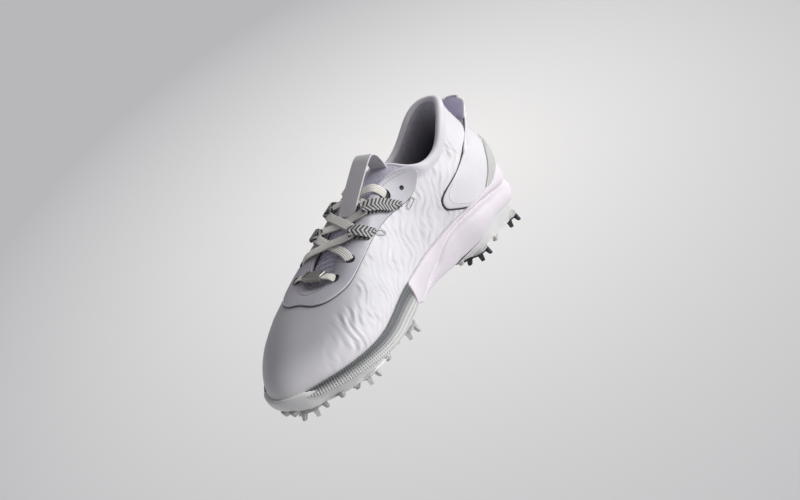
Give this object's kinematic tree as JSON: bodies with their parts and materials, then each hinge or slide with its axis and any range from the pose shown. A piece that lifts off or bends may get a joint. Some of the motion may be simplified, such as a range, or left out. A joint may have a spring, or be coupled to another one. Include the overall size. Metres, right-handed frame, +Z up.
{
  "type": "golf shoe",
  "caption": "Right golf shoe with a rippled padded upper, lace panel with webbing loops and metal lace tag, foam midsole, ribbed rand and twist-out soft spikes.",
  "frame": {"origin": "in the plane of the spike tips, under the middle of the shoe's length and width", "axes": "+X to the heel along the shoe, +Y to the outer (lateral) side, +Z up from the ground"},
  "size_m": [0.2998, 0.1028, 0.1235],
  "materials": {
    "clear_tpu": "satin",
    "foam_white": "matt foam",
    "rand_grey": "ribbed satin",
    "clip_grey": "ribbed matt",
    "shank_nylon": "matt",
    "board_felt": "felt",
    "sock_fabric": "textile",
    "stiffener": "matt",
    "upper_white": "satin film",
    "lining_textile": "knit",
    "collar_knit": "knit",
    "eyestay_film": "satin film",
    "heel_film": "semi gloss",
    "lavender_pad": "satin",
    "tongue_fabric": "padded mesh",
    "webbing_light": "woven",
    "webbing_grey": "herringbone",
    "lace_cotton": "flat woven",
    "aglet_plastic": "gloss",
    "tag_metal": "brushed",
    "receptacle_clear": "gloss",
    "spike_dark": "satin",
    "spike_clear": "satin"
  },
  "bodies": {
    "shoe": {"outsole_forefoot": "clear_tpu", "outsole_heel": "clear_tpu", "midsole": "foam_white", "forefoot_rand": "rand_grey", "heel_clip": "clip_grey", "shank_plate": "shank_nylon", "strobel_board": "board_felt", "sockliner": "sock_fabric", "toe_puff": "stiffener", "heel_counter": "stiffener", "upper_shell": "upper_white", "upper_lining": "lining_textile", "collar_padding": "collar_knit", "collar_lining": "lining_textile", "eyestay_overlay": "eyestay_film", "heel_overlay": "heel_film", "heel_tab_inset": "lavender_pad", "tongue": "tongue_fabric", "tongue_pull_loop": "webbing_light", "lace_loop_lower_medial": "webbing_grey", "lace_loop_lower_lateral": "webbing_grey", "lace_loop_upper_medial": "webbing_grey", "lace_loop_upper_lateral": "webbing_grey", "lace": "lace_cotton", "lace_aglets": "aglet_plastic", "spike_receptacles": "receptacle_clear"},
    "lace_tag": {"lace_tag": "tag_metal"},
    "spike_heel_rear_medial": {"spike_heel_rear_medial": "spike_dark"},
    "spike_heel_rear_lateral": {"spike_heel_rear_lateral": "spike_dark"},
    "spike_heel_front_medial": {"spike_heel_front_medial": "spike_dark"},
    "spike_heel_front_lateral": {"spike_heel_front_lateral": "spike_dark"},
    "spike_ball_medial": {"spike_ball_medial": "spike_clear"},
    "spike_ball_lateral": {"spike_ball_lateral": "spike_clear"},
    "spike_tread_medial": {"spike_tread_medial": "spike_clear"},
    "spike_tread_lateral": {"spike_tread_lateral": "spike_clear"},
    "spike_toe": {"spike_toe": "spike_clear"}
  },
  "joints": [
    {"name": "lace_tag_slide", "type": "slide", "parent": "shoe", "child": "lace_tag", "axis": [0, 1, 0], "range_m": [-0.004, 0.004]},
    {"name": "heel_rear_medial_twist", "type": "hinge", "parent": "shoe", "child": "spike_heel_rear_medial", "pos_m": [0.12887, -0.01284, 0], "axis": [0, 0, -1], "range_deg": [0, 60]},
    {"name": "heel_rear_lateral_twist", "type": "hinge", "parent": "shoe", "child": "spike_heel_rear_lateral", "pos_m": [0.12387, 0.01616, 0], "axis": [0, 0, -1], "range_deg": [0, 60]},
    {"name": "heel_front_medial_twist", "type": "hinge", "parent": "shoe", "child": "spike_heel_front_medial", "pos_m": [0.07887, -0.01934, 0], "axis": [0, 0, -1], "range_deg": [0, 60]},
    {"name": "heel_front_lateral_twist", "type": "hinge", "parent": "shoe", "child": "spike_heel_front_lateral", "pos_m": [0.07787, 0.02216, 0], "axis": [0, 0, -1], "range_deg": [0, 60]},
    {"name": "ball_medial_twist", "type": "hinge", "parent": "shoe", "child": "spike_ball_medial", "pos_m": [-0.02913, -0.02734, 0], "axis": [0, 0, -1], "range_deg": [0, 60]},
    {"name": "ball_lateral_twist", "type": "hinge", "parent": "shoe", "child": "spike_ball_lateral", "pos_m": [-0.03813, 0.03466, 0], "axis": [0, 0, -1], "range_deg": [0, 60]},
    {"name": "tread_medial_twist", "type": "hinge", "parent": "shoe", "child": "spike_tread_medial", "pos_m": [-0.08613, -0.03384, 0], "axis": [0, 0, -1], "range_deg": [0, 60]},
    {"name": "tread_lateral_twist", "type": "hinge", "parent": "shoe", "child": "spike_tread_lateral", "pos_m": [-0.08413, 0.02866, 0], "axis": [0, 0, -1], "range_deg": [0, 60]},
    {"name": "toe_twist", "type": "hinge", "parent": "shoe", "child": "spike_toe", "pos_m": [-0.12713, -0.01534, 0.0018], "axis": [0, 0, -1], "range_deg": [0, 60]}
  ]
}
